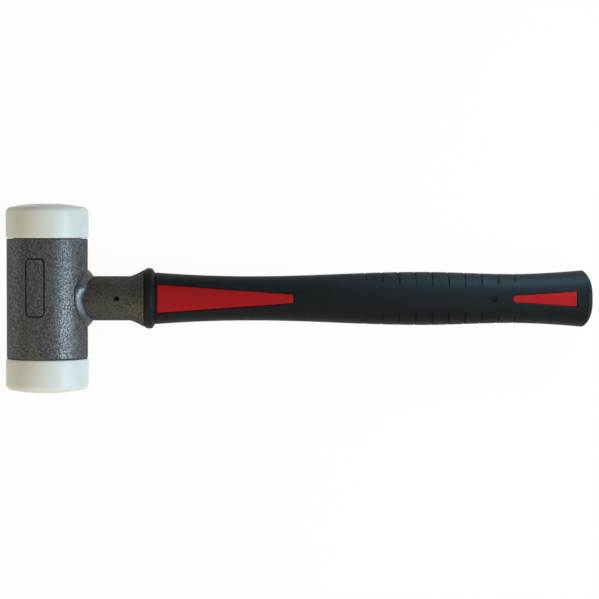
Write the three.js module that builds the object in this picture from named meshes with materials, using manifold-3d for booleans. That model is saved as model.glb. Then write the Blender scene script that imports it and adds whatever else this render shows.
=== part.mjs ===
// Dead blow hammer: a welded steel head holding loose shot, two nylon faces and a moulded handle.
// Millimetres, +Z up. The hammer lies on its side on the plane z = 0, resting on the rims of both faces
// and on the butt of the handle. The head's axis runs along Y, and the handle runs towards +X.
// Inside the hammer's own group, x = 0 is the head's axis and y = z = 0 is the handle's axis.

import * as THREE from "three";
import { mergeVertices } from "three/addons/utils/BufferGeometryUtils.js";
import Module from "manifold-3d";

const wasm = await Module();
wasm.setup();

// Fits
const fitGap = 0.3; // clearance left between two pieces that seat on each other

// Head housing: a steel tube, bored wider at both ends
const housingDiameter = 49;
const housingLength = 72.5;
const housingChamfer = 0.8;
const chamberWall = 5.5; // around the shot
const seatWall = 3.5; // around the faces' stems

// Discs that close the shot chamber, and the circlips that hold them
const discThickness = 4;
const discChamfer = 0.6;
const circlipThickness = 1.75;
const circlipWidth = 2.8;
const circlipGrooveDepth = 1.2;
const circlipOpening = 0.34; // radians between the two ends
const lugDiameter = 5;
const lugHole = 2;

// Nylon faces
const faceDiameter = 50;
const faceHeight = 21; // from the housing's end to the striking land
const faceEdgeRadius = 3.6;
const faceHeelChamfer = 0.9;
const crownRadius = 115;
const landDiameter = 16;
const stemLength = 9;
const stemChamfer = 0.8;

// Steel shot
const shotDiameter = 10;
const shotCharge = 21; // balls put into the head

// Neck: a steel socket welded to the housing, flared at its mouth
const neckDiameter = 27;
const neckWall = 3.2;
const neckLength = 35.5; // from the housing's side to the mouth
const flareLength = 9.8;
const flarePower = 1.35; // 1 is a plain cone, and more starts gently
const mouthHeight = 35.8;
const mouthThickness = 31;
const weldLeg = 4.5;
const weldBulge = 0.5;

// Spring pin across the neck
const pinDiameter = 3;
const pinWall = 0.7;
const pinSlot = 0.6;
const pinRecess = 0.5;
const pinFromMouth = 17.3;

// Collar between the neck's mouth and the grip
const collarLength = 5.2;
const collarRise = 1.4;

// Grip outline: heights and thicknesses at its front, waist, belly, narrow and butt
const gripLength = 267;
const frontHeight = 31.5;
const frontThickness = 26;
const waistFromFront = 57.9;
const waistHeight = 27.4;
const waistThickness = 22.8;
const bellyFromFront = 158.4;
const bellyHeight = 32.6;
const bellyThickness = 26.6;
const narrowFromButt = 45.8;
const narrowHeight = 30.2;
const narrowThickness = 25;
const buttHeight = 34.6;
const buttThickness = 28;
const buttDome = 6;
const domeHeightPower = 1.2; // how early the dome's height starts to close
const domeHeightRoot = 0.35; // how round it closes
const domeThicknessPower = 4; // the thickness closes later than the height
const gripPower = 2.3; // 2 is an ellipse, and more is squarer
const gripWall = 1.8;
const buttWall = 6;

// Red wedges of the jacket that show through the grip
const frontWedgeSetback = 1;
const frontWedgeLength = 82.7;
const frontWedgeWide = 17.7;
const frontWedgeTip = 5.8;
const rearWedgeFromButt = 5.2;
const rearWedgeLength = 39.2;
const rearWedgeWide = 9.7;
const rearWedgeTip = 4.4;
const wedgeRecess = 0.25;

// Grooves across the top and bottom of the grip
const grooveCount = 10;
const groovePitch = 10.06;
const grooveWidth = 1;
const grooveDepth = 0.6;
const grooveShortest = 3.2;
const grooveLongest = 8.6;
const grooveFromButt = 42.9; // the groove nearest the butt

// Fibreglass core
const coreDiameter = 13;
const coreFromButt = 9;

// Fineness of the round pieces
const turnedSides = 40;
const handleSides = 24;
const boreSides = 16;
const ringStep = 14; // between rings along the grip
const flareStep = 2; // between rings along the neck's flare
const domeSteps = [0.2, 0.4, 0.6, 0.77, 0.9, 0.97, 0.998]; // rings on the butt's dome

// Finishes
const hammerPaint = new THREE.MeshStandardMaterial({ color: 0x55585c, roughness: 0.42, metalness: 0.35 });
const nylon = new THREE.MeshStandardMaterial({ color: 0xe4e6df, roughness: 0.4, metalness: 0 });
const bareSteel = new THREE.MeshStandardMaterial({ color: 0xa8abae, roughness: 0.35, metalness: 1 });
const springSteel = new THREE.MeshStandardMaterial({ color: 0x3b3a38, roughness: 0.45, metalness: 0.9 });
const redPlastic = new THREE.MeshStandardMaterial({ color: 0xb01c20, roughness: 0.45, metalness: 0 });
const blackRubber = new THREE.MeshStandardMaterial({ color: 0x1d1f22, roughness: 0.7, metalness: 0 });
const fibreglass = new THREE.MeshStandardMaterial({ color: 0xc9b98a, roughness: 0.55, metalness: 0 });

// Places worked out from the sizes
const housingRadius = housingDiameter / 2;
const housingHalf = housingLength / 2;
const chamberRadius = housingRadius - chamberWall;
const seatRadius = housingRadius - seatWall;
const circlipSeatRadius = seatRadius + circlipGrooveDepth;
const seatDepth = stemLength + circlipThickness + discThickness + 3 * fitGap;
const chamberHalf = housingHalf - seatDepth + fitGap;
const neckRadius = neckDiameter / 2;
const mouthX = housingRadius + neckLength;
const pinX = mouthX - pinFromMouth;
const flareX = mouthX - flareLength;
const collarX = mouthX + fitGap;
const gripX = collarX + collarLength + fitGap;
const gripEndX = gripX + gripLength;
const buttX = gripEndX - buttDome;
const coreX = housingRadius + fitGap;
const jacketEndX = gripEndX - buttWall - fitGap;
const rearWedgeX = buttX - rearWedgeFromButt - rearWedgeLength;
const pinHoleDiameter = pinDiameter + 2 * fitGap;

// Solids

// A closed geometry as a solid that can be joined and cut.
function solidOf(geometry) {
  const bare = geometry.clone();
  bare.deleteAttribute("normal");
  bare.deleteAttribute("uv");
  const merged = mergeVertices(bare, 1e-4);
  return new wasm.Manifold(
    new wasm.Mesh({
      numProp: 3,
      vertProperties: merged.attributes.position.array,
      triVerts: new Uint32Array(merged.index.array),
    }),
  );
}

// A joined or cut solid as a geometry.
function geometryOf(solid) {
  const mesh = solid.getMesh();
  const geometry = new THREE.BufferGeometry();
  geometry.setAttribute("position", new THREE.BufferAttribute(mesh.vertProperties, 3));
  geometry.setIndex(new THREE.BufferAttribute(mesh.triVerts, 1));
  geometry.computeVertexNormals();
  return geometry;
}

// A body through rings of equally many points: capped at both ends, or joined into a loop.
function loft(rings, loop = false) {
  const count = rings[0].length;
  const last = (rings.length - 1) * count;
  const triangles = [];
  for (let ring = 0; ring < (loop ? rings.length : rings.length - 1); ring++) {
    const here = ring * count;
    const next = ((ring + 1) % rings.length) * count;
    for (let k = 0; k < count; k++) {
      const beside = (k + 1) % count;
      triangles.push(here + k, here + beside, next + k);
      triangles.push(here + beside, next + beside, next + k);
    }
  }
  for (let k = 1; k < count - 1 && !loop; k++) {
    triangles.push(0, k + 1, k);
    triangles.push(last, last + k, last + k + 1);
  }
  const geometry = new THREE.BufferGeometry().setFromPoints(rings.flat());
  geometry.setIndex(triangles);
  return geometry;
}

// A body turned about Y from a profile of [radius, y] pairs.
function turned(profile, sides = turnedSides) {
  return new THREE.LatheGeometry(
    profile.map(([radius, y]) => new THREE.Vector2(radius, y)),
    sides,
  );
}

// A round bar along Z or X, for holes and cores.
function barAlongZ(diameter, length, x) {
  const bar = new THREE.CylinderGeometry(diameter / 2, diameter / 2, length, boreSides);
  return bar.rotateX(Math.PI / 2).translate(x, 0, 0);
}

function barAlongX(diameter, fromX, toX) {
  const bar = new THREE.CylinderGeometry(diameter / 2, diameter / 2, toX - fromX, boreSides);
  return bar.rotateZ(Math.PI / 2).translate((fromX + toX) / 2, 0, 0);
}

function addPiece(parent, name, geometry, material) {
  const mesh = new THREE.Mesh(geometry, material);
  mesh.name = name;
  parent.add(mesh);
  return mesh;
}

// Outline of the neck and handle

const smooth = (t) => (1 - Math.cos(Math.PI * t)) / 2;
const between = THREE.MathUtils.lerp;

// Where x lies between two places, from 0 to 1.
function share(x, from, to) {
  return THREE.MathUtils.clamp((x - from) / (to - from), 0, 1);
}

// A place's size: half its height along Y, half its thickness along Z, and how square it is.
function sizeAt(height, thickness, power) {
  return { y: height / 2, z: thickness / 2, power };
}

function blendSizes(a, b, t) {
  return { y: between(a.y, b.y, t), z: between(a.z, b.z, t), power: between(a.power, b.power, t) };
}

function grown(size, by) {
  return { y: size.y + by, z: size.z + by, power: size.power };
}

function neckOutside(x) {
  const tube = sizeAt(neckDiameter, neckDiameter, 2);
  return blendSizes(tube, sizeAt(mouthHeight, mouthThickness, 2), share(x, flareX, mouthX) ** flarePower);
}

// The grip's places in order, each with how its outline eases towards the next.
const gripPlaces = [
  { x: gripX, size: sizeAt(frontHeight, frontThickness, gripPower), ease: (t) => 1 - (1 - t) ** 2 },
  { x: gripX + waistFromFront, size: sizeAt(waistHeight, waistThickness, gripPower), ease: smooth },
  { x: gripX + bellyFromFront, size: sizeAt(bellyHeight, bellyThickness, gripPower), ease: smooth },
  { x: buttX - narrowFromButt, size: sizeAt(narrowHeight, narrowThickness, gripPower), ease: (t) => t ** 2 },
  { x: buttX, size: sizeAt(buttHeight, buttThickness, gripPower), ease: smooth },
];

function gripOutside(x) {
  let at = 0;
  while (at < gripPlaces.length - 2 && x > gripPlaces[at + 1].x) at++;
  const [from, to] = [gripPlaces[at], gripPlaces[at + 1]];
  const size = blendSizes(from.size, to.size, from.ease(share(x, from.x, to.x)));
  const dome = share(x, buttX, gripEndX);
  size.y *= (1 - dome ** domeHeightPower) ** domeHeightRoot;
  size.z *= Math.sqrt(1 - dome ** domeThicknessPower);
  return size;
}

// The hollow that the jacket fills, through the neck, the collar and the grip.
function hollow(x) {
  if (x <= mouthX) return grown(neckOutside(x), -neckWall);
  if (x >= gripX) return grown(gripOutside(x), -gripWall);
  return blendSizes(hollow(mouthX), hollow(gripX), share(x, mouthX, gripX));
}

// A ring of points around the handle's axis.
function ringAt(x, size) {
  return Array.from({ length: handleSides }, (_, k) => {
    const angle = (2 * Math.PI * k) / handleSides;
    const [c, s] = [Math.cos(angle), Math.sin(angle)];
    const y = size.y * Math.sign(c) * Math.abs(c) ** (2 / size.power);
    const z = size.z * Math.sign(s) * Math.abs(s) ** (2 / size.power);
    return new THREE.Vector3(x, y, z);
  });
}

// Places from one x to another, evenly, no further apart than a step.
function placesAlong(fromX, toX, step = ringStep) {
  const spans = Math.max(1, Math.ceil((toX - fromX) / step));
  return Array.from({ length: spans + 1 }, (_, i) => between(fromX, toX, i / spans));
}

// A solid along the handle whose size at each place comes from a function, grown by an amount.
function alongHandle(places, outside, by = 0) {
  return solidOf(loft(places.map((x) => ringAt(x, grown(outside(x), by)))));
}

const gripRings = [...placesAlong(gripX, buttX), ...domeSteps.map((t) => between(buttX, gripEndX, t))];

// Head

function housing() {
  const end = housingHalf;
  const grooveIn = end - stemLength - 2 * fitGap - circlipThickness;
  const grooveOut = end - stemLength;
  const shoulder = end - seatDepth;
  const half = [
    [chamberRadius, shoulder],
    [seatRadius, shoulder],
    [seatRadius, grooveIn],
    [circlipSeatRadius, grooveIn],
    [circlipSeatRadius, grooveOut],
    [seatRadius, grooveOut],
    [seatRadius, end - housingChamfer / 2],
    [seatRadius + housingChamfer / 2, end],
    [housingRadius - housingChamfer, end],
    [housingRadius, end - housingChamfer],
  ];
  const mirrored = half.map(([radius, y]) => [radius, -y]).reverse();
  return turned([...half, ...mirrored, half[0]].reverse());
}

function chamberDisc() {
  const radius = seatRadius - fitGap;
  const half = discThickness / 2;
  return turned([
    [0, -half],
    [radius - discChamfer, -half],
    [radius, -half + discChamfer],
    [radius, half - discChamfer],
    [radius - discChamfer, half],
    [0, half],
  ]);
}

// A flat split ring with two drilled lugs, lying across Y.
function circlip() {
  const outer = circlipSeatRadius - fitGap;
  const inner = outer - circlipWidth;
  const start = circlipOpening / 2;
  const stop = 2 * Math.PI - start;
  const outline = new THREE.Shape();
  outline.absarc(0, 0, outer, start, stop, false);
  outline.absarc(0, 0, inner, stop, start, true);
  const flat = { depth: circlipThickness, bevelEnabled: false, curveSegments: 13 };
  const ring = solidOf(new THREE.ExtrudeGeometry(outline, flat));
  const lugFromAxis = inner - lugDiameter / 2 + circlipWidth / 2;
  const lugAngle = start + Math.asin(lugDiameter / 2 / lugFromAxis);
  const lugs = [lugAngle, -lugAngle].map((angle) => {
    const eye = new THREE.Shape();
    eye.absarc(0, 0, lugDiameter / 2, 0, 2 * Math.PI, false);
    const hole = new THREE.Path();
    hole.absarc(0, 0, lugHole / 2, 0, 2 * Math.PI, true);
    eye.holes.push(hole);
    const lug = new THREE.ExtrudeGeometry(eye, { ...flat, curveSegments: 6 });
    return solidOf(lug.translate(lugFromAxis * Math.cos(angle), lugFromAxis * Math.sin(angle), 0));
  });
  const whole = ring.add(lugs[0]).add(lugs[1]);
  return geometryOf(whole).translate(0, 0, -circlipThickness / 2).rotateX(-Math.PI / 2);
}

// A nylon face, with y = 0 on the housing's end and its stem below.
function nylonFace() {
  const radius = faceDiameter / 2;
  const stemRadius = seatRadius - fitGap;
  const land = landDiameter / 2;
  const crownAt = (r) => faceHeight - (r * r - land * land) / (2 * crownRadius);
  const edgeFrom = radius - faceEdgeRadius;
  const edgeTop = crownAt(edgeFrom);
  const edge = [0.25, 0.5, 0.75, 1].map((t) => {
    const angle = (Math.PI / 2) * t;
    const drop = faceEdgeRadius * (1 - Math.cos(angle));
    return [edgeFrom + faceEdgeRadius * Math.sin(angle), edgeTop - drop];
  });
  const crown = [0.5, 1].map((t) => between(land, edgeFrom, t)).map((r) => [r, crownAt(r)]);
  return turned([
    [0, -stemLength],
    [stemRadius - stemChamfer, -stemLength],
    [stemRadius, -stemLength + stemChamfer],
    [stemRadius, fitGap],
    [radius - faceHeelChamfer, fitGap],
    [radius, fitGap + faceHeelChamfer],
    ...edge.reverse(),
    ...crown.reverse(),
    [land, faceHeight],
    [0, faceHeight],
  ]);
}

const head = new THREE.Group();
addPiece(head, "head_housing", housing(), hammerPaint);
for (const [side, sign] of Object.entries({ upper: 1, lower: -1 })) {
  const end = new THREE.Group();
  end.rotation.x = sign > 0 ? 0 : Math.PI;
  const disc = addPiece(end, `chamber_disc_${side}`, chamberDisc(), bareSteel);
  disc.position.y = chamberHalf + discThickness / 2;
  const clip = addPiece(end, `disc_circlip_${side}`, circlip(), springSteel);
  clip.position.y = housingHalf - stemLength - fitGap - circlipThickness / 2;
  const face = addPiece(end, `nylon_face_${side}`, nylonFace(), nylon);
  face.position.y = housingHalf;
  head.add(end);
}

// Shot: layers of balls on a triangular grid, stacked from the lower disc

function shotSites() {
  const spacing = shotDiameter + fitGap;
  const reach = chamberRadius - shotDiameter / 2 - fitGap;
  const most = Math.ceil(reach / spacing) + 1;
  const layer = [];
  for (let row = -most; row <= most; row++) {
    for (let column = -most; column <= most; column++) {
      const site = new THREE.Vector2(row * Math.sqrt(0.75), column + row / 2).multiplyScalar(spacing);
      if (site.length() <= reach) layer.push(site);
    }
  }
  layer.sort((a, b) => a.length() - b.length());
  const layers = Math.floor((2 * chamberHalf - fitGap) / spacing);
  const sites = [];
  for (let level = 0; level < layers; level++) {
    const y = -chamberHalf + fitGap + shotDiameter / 2 + level * spacing;
    for (const site of layer) sites.push(new THREE.Vector3(site.x, y, site.y));
  }
  return sites.slice(0, shotCharge);
}

const shot = new THREE.Group();
shotSites().forEach((site, index) => {
  const ball = new THREE.IcosahedronGeometry(shotDiameter / 2, 1);
  const name = `shot_ball_${String(index + 1).padStart(2, "0")}`;
  addPiece(shot, name, ball, bareSteel).position.copy(site);
});

// Neck

const pinHole = solidOf(barAlongZ(pinHoleDiameter, 2 * neckDiameter, pinX));

function neckSocket() {
  const reach = [0, ...placesAlong(flareX, mouthX, flareStep)];
  const tube = alongHandle(reach, neckOutside);
  const bore = alongHandle([...reach, mouthX + fitGap], (x) => hollow(Math.min(x, mouthX)));
  const clearRadius = housingRadius + fitGap;
  const clear = new THREE.CylinderGeometry(clearRadius, clearRadius, housingLength, turnedSides);
  return geometryOf(tube.subtract(bore).subtract(solidOf(clear)).subtract(pinHole));
}

// The fillet weld: at each angle round the neck, a triangle with a bulging outer side.
function weldBead() {
  const rings = [];
  for (let k = 0; k < turnedSides; k++) {
    const angle = (2 * Math.PI * k) / turnedSides;
    const [c, s] = [Math.cos(angle), Math.sin(angle)];
    const headAt = (r) => Math.sqrt((housingRadius + fitGap) ** 2 - (r * s) ** 2) + fitGap;
    const onNeck = neckRadius + fitGap;
    const toe = new THREE.Vector2(headAt(onNeck + weldLeg), onNeck + weldLeg);
    const rim = new THREE.Vector2(headAt(onNeck) + weldLeg, onNeck);
    const middle = toe.clone().add(rim).multiplyScalar(0.5);
    const outward = new THREE.Vector2(toe.y - rim.y, rim.x - toe.x).normalize();
    const side = new THREE.QuadraticBezierCurve(toe, middle.addScaledVector(outward, 2 * weldBulge), rim);
    const along = [0.35, 0.7].map((t) => between(onNeck, onNeck + weldLeg, t));
    const foot = [onNeck, ...along].map((r) => new THREE.Vector2(headAt(r), r));
    const outline = [...foot, ...side.getPoints(4)];
    rings.push(outline.reverse().map((p) => new THREE.Vector3(p.x, p.y * c, p.y * s)));
  }
  return loft(rings, true);
}

// A rolled pin with a slot along its length.
function springPin() {
  const outer = pinDiameter / 2;
  const inner = outer - pinWall;
  const outline = new THREE.Shape();
  const [outerGap, innerGap] = [outer, inner].map((radius) => Math.asin(pinSlot / 2 / radius));
  outline.absarc(0, 0, outer, outerGap, 2 * Math.PI - outerGap, false);
  outline.absarc(0, 0, inner, 2 * Math.PI - innerGap, innerGap, true);
  const depth = neckDiameter - 2 * pinRecess;
  const pin = new THREE.ExtrudeGeometry(outline, { depth, bevelEnabled: false, curveSegments: 10 });
  return pin.translate(pinX, 0, -depth / 2);
}

const neck = new THREE.Group();
addPiece(neck, "neck_socket", neckSocket(), hammerPaint);
addPiece(neck, "neck_weld_bead", weldBead(), hammerPaint);
addPiece(neck, "socket_pin", springPin(), springSteel);

// Handle

function collarRing() {
  const outside = (x) => {
    const t = share(x, collarX, collarX + collarLength);
    return grown(blendSizes(neckOutside(mouthX), gripOutside(gripX), t), collarRise * Math.sin(Math.PI * t));
  };
  const places = placesAlong(collarX, collarX + collarLength, collarLength / 7);
  const hole = alongHandle([mouthX, gripX], hollow);
  return geometryOf(alongHandle(places, outside).subtract(hole));
}

// A wedge seen from the front, wide at one end, as a prism through the whole thickness.
function wedge(wideX, tipX, wide, tip, inset) {
  const toTip = Math.sign(tipX - wideX) * inset;
  const outline = new THREE.Shape([
    new THREE.Vector2(wideX + toTip, wide / 2 - inset),
    new THREE.Vector2(wideX + toTip, inset - wide / 2),
    new THREE.Vector2(tipX - toTip, inset - tip / 2),
    new THREE.Vector2(tipX - toTip, tip / 2 - inset),
  ]);
  const depth = 2 * Math.max(bellyThickness, frontThickness, buttThickness);
  const prism = new THREE.ExtrudeGeometry(outline, { depth, bevelEnabled: false });
  return solidOf(prism.translate(0, 0, -depth / 2));
}

function wedges(inset) {
  const frontX = gripX + frontWedgeSetback;
  const front = wedge(frontX, frontX + frontWedgeLength, frontWedgeWide, frontWedgeTip, inset);
  const rear = wedge(rearWedgeX + rearWedgeLength, rearWedgeX, rearWedgeWide, rearWedgeTip, inset);
  return front.add(rear);
}

// Slots over the top and bottom edges, longest in the middle of the row.
function grooves() {
  const lastX = buttX - grooveFromButt;
  const slots = [];
  for (let k = 0; k < grooveCount; k++) {
    const x = lastX - k * groovePitch;
    const middle = Math.sin((Math.PI * (k + 0.5)) / grooveCount);
    const length = between(grooveShortest, grooveLongest, middle);
    const edge = gripOutside(x).y;
    const slot = new THREE.BoxGeometry(grooveWidth, 2 * length, 2 * gripOutside(x).z + 2 * grooveWidth);
    for (const sign of [1, -1]) {
      slots.push(solidOf(slot.clone().translate(x, sign * edge, 0)));
    }
  }
  return wasm.Manifold.union(slots).subtract(alongHandle(gripRings, gripOutside, -grooveDepth));
}

function gripOvermould() {
  const cavityPlaces = placesAlong(gripX, gripEndX - buttWall, 2 * ringStep);
  const cavity = alongHandle([gripX - fitGap, ...cavityPlaces], (x) => hollow(Math.max(x, gripX)));
  const shell = alongHandle(gripRings, gripOutside).subtract(cavity);
  return geometryOf(shell.subtract(wedges(0)).subtract(grooves()));
}

// The hard jacket: a spigot in the neck, a sleeve under the grip, and pads that fill its windows.
function handleJacket() {
  const places = [
    coreX,
    ...placesAlong(flareX, mouthX, flareStep),
    ...placesAlong(gripX, jacketEndX, 2 * ringStep),
  ];
  const sleeve = alongHandle(places, hollow, -fitGap);
  const pads = wedges(fitGap).intersect(alongHandle(gripRings, gripOutside, -wedgeRecess));
  const bore = solidOf(barAlongX(coreDiameter + 2 * fitGap, 0, buttX - coreFromButt + fitGap));
  return geometryOf(sleeve.add(pads).subtract(bore).subtract(pinHole));
}

function handleCore() {
  const bar = solidOf(barAlongX(coreDiameter, coreX, buttX - coreFromButt));
  return geometryOf(bar.subtract(pinHole));
}

const handle = new THREE.Group();
addPiece(handle, "collar_ring", collarRing(), blackRubber);
addPiece(handle, "grip_overmould", gripOvermould(), blackRubber);
addPiece(handle, "handle_jacket", handleJacket(), redPlastic);
addPiece(handle, "handle_core", handleCore(), fibreglass);

// The hammer rolls on its faces until the butt touches the surface it lies on.
function restTilt() {
  const buttLow = buttThickness / 2;
  return Math.asin(faceDiameter / 2 / Math.hypot(buttX, buttLow)) - Math.atan2(buttLow, buttX);
}

const hammer = new THREE.Group();
hammer.add(head, shot, neck, handle);
hammer.rotation.y = restTilt();
const bounds = new THREE.Box3().setFromObject(hammer, true);
const centre = bounds.getCenter(new THREE.Vector3());
hammer.position.set(-centre.x, -centre.y, -bounds.min.z);

const part = new THREE.Group();
part.add(hammer);

export default part;
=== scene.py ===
"""Looks of a dead blow hammer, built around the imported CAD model.

Sizes are in the hammer's own millimetres: x runs along the handle from the head's axis, y along the head
and z through the thickness. RestingFrame turns them into the row's metres, as the hammer lies on the floor.
"""

import logging
import math
from abc import ABC, abstractmethod
from dataclasses import dataclass, field
from enum import Enum
from typing import Any, Sequence

import bmesh
import bpy
import numpy as np
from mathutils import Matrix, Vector
from numpy.typing import ArrayLike

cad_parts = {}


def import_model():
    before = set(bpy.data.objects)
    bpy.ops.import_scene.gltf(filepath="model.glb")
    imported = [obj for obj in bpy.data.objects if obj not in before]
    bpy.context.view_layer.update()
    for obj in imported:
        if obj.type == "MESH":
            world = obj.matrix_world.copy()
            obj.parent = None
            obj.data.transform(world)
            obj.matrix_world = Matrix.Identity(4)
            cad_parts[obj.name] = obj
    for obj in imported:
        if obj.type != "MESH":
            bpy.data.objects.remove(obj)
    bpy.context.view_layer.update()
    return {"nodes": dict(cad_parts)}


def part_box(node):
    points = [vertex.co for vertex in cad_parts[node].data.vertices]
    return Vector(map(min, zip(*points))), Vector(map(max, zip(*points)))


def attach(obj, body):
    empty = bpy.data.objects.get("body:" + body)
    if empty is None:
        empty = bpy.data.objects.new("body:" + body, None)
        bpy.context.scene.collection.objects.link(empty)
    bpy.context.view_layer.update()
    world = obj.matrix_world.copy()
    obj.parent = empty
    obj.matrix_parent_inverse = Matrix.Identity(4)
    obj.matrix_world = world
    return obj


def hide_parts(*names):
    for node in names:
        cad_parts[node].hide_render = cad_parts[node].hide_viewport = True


frame: dict[str, Any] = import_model()
log = logging.getLogger("hammer")

Colour = tuple[float, float, float, float]
Pair = tuple[float, float]
Profile = list[Pair]
Socket = bpy.types.NodeSocket

# Millimetres in a metre, metres within which points join, degrees of a sharp edge, power of an ellipse
MM = 1000
SEAM = 2e-6
CREASE = 40.0
ELLIPSE = 2.0


class Body(Enum):
    """Bodies of the CAD model that pieces ride on."""

    HAMMER = "hammer"
    UPPER_FACE = "upper_face"
    LOWER_FACE = "lower_face"


class Slot(Enum):
    """Material slots that the finishes stand for."""

    PAINT = "hammertone_paint"
    BARE_STEEL = "bare_steel"
    SPRING_STEEL = "spring_steel"
    NYLON = "nylon"
    RUBBER = "black_rubber"
    RED = "red_plastic"
    FIBREGLASS = "fibreglass"


class Side(Enum):
    """The two ends of the head, and the way that each points along y."""

    UPPER = 1
    LOWER = -1

    @property
    def label(self) -> str:
        """The side's word in the names of pieces."""
        return self.name.lower()


def srgb(red: int, green: int, blue: int) -> Colour:
    """Turns a colour as seen on a screen into the linear colour of a shader.

    Args:
        red: Red from 0 to 255.
        green: Green from 0 to 255.
        blue: Blue from 0 to 255.

    Returns:
        The linear colour, opaque.
    """
    parts = [v / 255 for v in (red, green, blue)]
    linear = [v / 12.92 if v <= 0.04045 else ((v + 0.055) / 1.055) ** 2.4 for v in parts]
    return (linear[0], linear[1], linear[2], 1.0)


def ease(t: np.ndarray) -> np.ndarray:
    """Eases shares from 0 to 1, flat at both ends."""
    return (1 - np.cos(np.pi * np.clip(t, 0, 1))) / 2


def rounded(inside: np.ndarray, radius: float) -> np.ndarray:
    """Gives how far a rounded edge of a radius has dropped, at distances in from where it ends."""
    return radius - np.sqrt(np.clip(radius**2 - (radius - np.clip(inside, 0, radius)) ** 2, 0, None))


def around(count: int) -> np.ndarray:
    """Gives angles spread evenly over a full turn."""
    return np.linspace(0, 2 * np.pi, count, endpoint=False)


def spots(x: ArrayLike, y: ArrayLike, z: ArrayLike) -> np.ndarray:
    """Joins places along x, y and z into points, spreading those that are the same for many points."""
    return np.stack(np.broadcast_arrays(x, y, z), axis=-1)


def oval(x: float, half_y: float, half_z: float, power: float, angle: np.ndarray) -> np.ndarray:
    """Gives a ring round the handle's axis.

    Args:
        x: Place along the handle.
        half_y: Half its height.
        half_z: Half its thickness.
        power: How square it is.
        angle: Angles of its points, from +y towards +z.

    Returns:
        The ring's points.
    """
    c, s = np.cos(angle), np.sin(angle)
    y = half_y * np.sign(c) * np.abs(c) ** (2 / power)
    z = half_z * np.sign(s) * np.abs(s) ** (2 / power)
    return spots(x, y, z)


def arc(centre: Pair, radius: float, start: float, stop: float, steps: int) -> Profile:
    """Gives points on an arc of a profile.

    Args:
        centre: Radius and y of the arc's centre.
        radius: The arc's own radius.
        start: First angle in degrees, from the outward direction towards +y.
        stop: Last angle in degrees.
        steps: Number of points.

    Returns:
        The points in order.
    """
    angles = np.radians(np.linspace(start, stop, steps))
    return [(centre[0] + radius * math.cos(a), centre[1] + radius * math.sin(a)) for a in angles]


def mirrored(profile: Profile) -> Profile:
    """Carries a profile on through its own mirror image in y."""
    return profile + [(radius, -y) for radius, y in reversed(profile)]


def turned(profile: Profile, sides: int) -> np.ndarray:
    """Turns a profile about the y axis.

    Args:
        profile: Pairs of radius and y.
        sides: Points on each ring.

    Returns:
        Points by profile point and by side.
    """
    angle = around(sides)
    radius, y = (np.array(v, float)[:, None] for v in zip(*profile))
    return spots(radius * np.sin(angle), y, radius * np.cos(angle))


def drilled(profile: Profile, sides: int, x: float, z: float) -> np.ndarray:
    """Turns a profile about a line along z.

    Args:
        profile: Pairs of radius and height along the line.
        sides: Points on each ring.
        x: Where the line crosses the handle's axis.
        z: Where along the line the profile's height is 0.

    Returns:
        Points by profile point and by side.
    """
    points = turned(profile, sides)
    return spots(points[..., 0] + x, points[..., 2], points[..., 1] + z)


class Surface:
    """Points and faces of one mesh, in the hammer's own millimetres."""

    def __init__(self) -> None:
        """Starts with no points."""
        self.points: list[np.ndarray] = []
        self.faces: list[list[int]] = []
        self.count = 0

    def take(self, points: np.ndarray) -> np.ndarray:
        """Adds points without faces.

        Args:
            points: Points of any arrangement, with x, y and z on the last axis.

        Returns:
            The points' numbers, in the same arrangement.
        """
        flat = np.asarray(points, float).reshape(-1, 3)
        numbers = np.arange(self.count, self.count + len(flat)).reshape(np.shape(points)[:-1])
        self.points.append(flat)
        self.count += len(flat)
        return numbers

    def weave(self, numbers: np.ndarray, closed: bool = False, along: bool = False) -> None:
        """Adds four-sided faces over points that are already taken.

        Args:
            numbers: Point numbers by ring and by column.
            closed: Whether each ring closes on itself.
            along: Whether the last ring joins the first.
        """
        if closed:
            numbers = np.concatenate([numbers, numbers[:, :1]], axis=1)
        if along:
            numbers = np.concatenate([numbers, numbers[:1]], axis=0)
        corners = (numbers[:-1, :-1], numbers[:-1, 1:], numbers[1:, 1:], numbers[1:, :-1])
        self.faces += np.stack(corners, axis=-1).reshape(-1, 4).tolist()

    def rings(self, grid: ArrayLike, along: bool = False) -> "Surface":
        """Adds closed rings of points and the faces between them.

        Args:
            grid: Points by ring and by column.
            along: Whether the last ring joins the first.

        Returns:
            This surface.
        """
        self.weave(self.take(np.asarray(grid, float)), closed=True, along=along)
        return self

    def cap(self, ring: np.ndarray) -> "Surface":
        """Adds one face over a ring of points, and returns this surface."""
        self.faces.append(self.take(ring).tolist())
        return self

    def barrel(self, grid: Sequence[np.ndarray]) -> "Surface":
        """Adds closed rings of points with a face over each end, and returns this surface."""
        return self.rings(grid).cap(grid[0]).cap(grid[-1])

    def slab(self, top: np.ndarray, bottom: np.ndarray) -> "Surface":
        """Adds two sheets and the wall between their borders.

        Args:
            top: Points by ring and by column.
            bottom: Points in the same arrangement.

        Returns:
            This surface.
        """
        sheets = [self.take(top), self.take(bottom)]
        for numbers in sheets:
            self.weave(numbers)
        rims = [np.concatenate([n[0], n[1:, -1], n[-1, -2::-1], n[-2:0:-1, 0]]) for n in sheets]
        self.weave(np.stack(rims), closed=True)
        return self


def shade(mesh: bpy.types.Mesh, crease: float) -> None:
    """Shades a mesh smooth, apart from edges sharper than an angle in degrees."""
    mesh.shade_smooth()
    mesh.set_sharp_from_angle(angle=math.radians(crease))


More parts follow.
